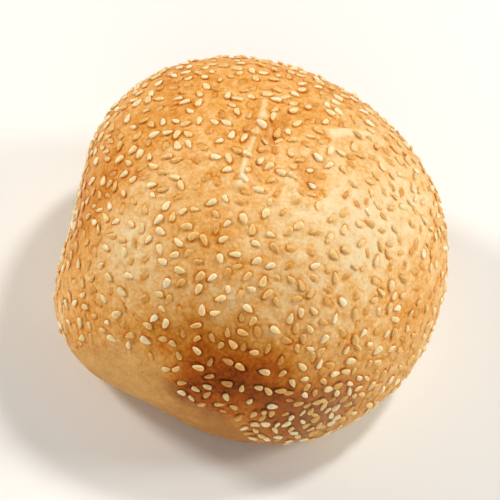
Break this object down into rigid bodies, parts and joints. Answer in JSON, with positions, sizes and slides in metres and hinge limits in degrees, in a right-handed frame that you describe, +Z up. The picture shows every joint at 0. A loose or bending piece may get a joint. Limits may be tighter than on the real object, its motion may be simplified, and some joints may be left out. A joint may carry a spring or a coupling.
{
  "type": "bread roll",
  "caption": "Soft round bread roll with a domed, creased crown strewn with sesame seeds, a toasted patch at the front and a smooth paler waist, on a flat base.",
  "frame": {"origin": "middle of the flat base that the roll rests on", "axes": "+Z up through the crown, front (the side with the toasted patch) towards -Y, +X to the right as seen from the front"},
  "size_m": [0.1075, 0.111, 0.0712],
  "materials": {
    "crust": "soft baked crust, matte and floury beige with satin golden patches, toasted brown at the front, pale tan on the waist and base",
    "seed": "sesame seeds, pale cream with some toasted to the colour of the crust"
  },
  "bodies": {
    "root": {"roll": "crust"}
  },
  "joints": []
}
